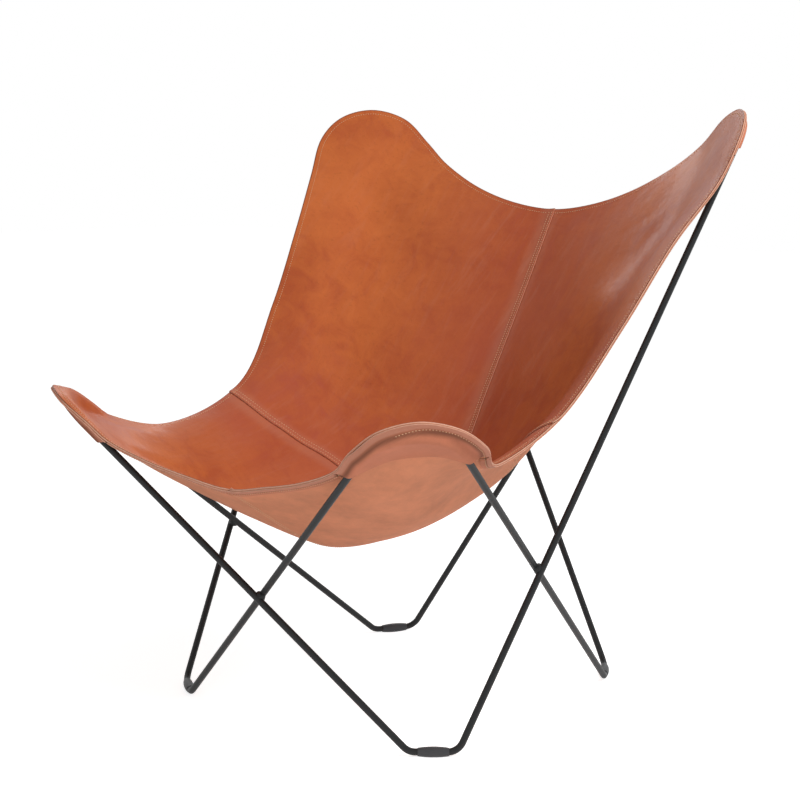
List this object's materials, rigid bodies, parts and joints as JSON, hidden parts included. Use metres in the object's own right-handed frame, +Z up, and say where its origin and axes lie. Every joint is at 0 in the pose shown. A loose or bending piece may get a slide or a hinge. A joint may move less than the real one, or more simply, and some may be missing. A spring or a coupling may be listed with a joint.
{
  "type": "butterfly sling chair",
  "caption": "Lounge chair with a leather sling hung by pockets on the bent ears of a crossed, welded steel rod frame.",
  "frame": {"origin": "on the floor, under the middle of the chair's bounding box", "axes": "+Z up, -Y towards the front of the chair, +X towards the sitter's left"},
  "size_m": [0.8276, 0.8656, 0.9047],
  "materials": {
    "powder_coat": "matt black powder coat",
    "glide_plastic": "dark grey moulded plastic",
    "cognac_leather": "smooth vegetable-tanned cognac leather",
    "underside_leather": "lighter tan underside of the same leather"
  },
  "bodies": {
    "root": {"loop_a_front_leg": "powder_coat", "loop_a_right_leg": "powder_coat", "loop_a_left_leg": "powder_coat", "loop_a_back_leg": "powder_coat", "loop_a_front_ear": "powder_coat", "loop_a_back_ear": "powder_coat", "loop_a_front_foot": "powder_coat", "loop_a_rear_foot": "powder_coat", "glide_front_left": "glide_plastic", "glide_rear_right": "glide_plastic", "loop_b_front_leg": "powder_coat", "loop_b_left_leg": "powder_coat", "loop_b_right_leg": "powder_coat", "loop_b_back_leg": "powder_coat", "loop_b_front_ear": "powder_coat", "loop_b_back_ear": "powder_coat", "loop_b_front_foot": "powder_coat", "loop_b_rear_foot": "powder_coat", "glide_front_right": "glide_plastic", "glide_rear_left": "glide_plastic", "weld_front": "powder_coat", "weld_left": "powder_coat", "weld_right": "powder_coat", "weld_back": "powder_coat", "back_panel_left": "cognac_leather", "seat_panel_left": "cognac_leather", "ear_pocket_back_left": "underside_leather", "ear_pocket_front_left": "underside_leather", "edge_facing_top_left": "underside_leather", "edge_facing_front_left": "underside_leather", "edge_facing_side_left": "underside_leather", "back_panel_right": "cognac_leather", "seat_panel_right": "cognac_leather", "ear_pocket_back_right": "underside_leather", "ear_pocket_front_right": "underside_leather", "edge_facing_top_right": "underside_leather", "edge_facing_front_right": "underside_leather", "edge_facing_side_right": "underside_leather"}
  },
  "joints": []
}
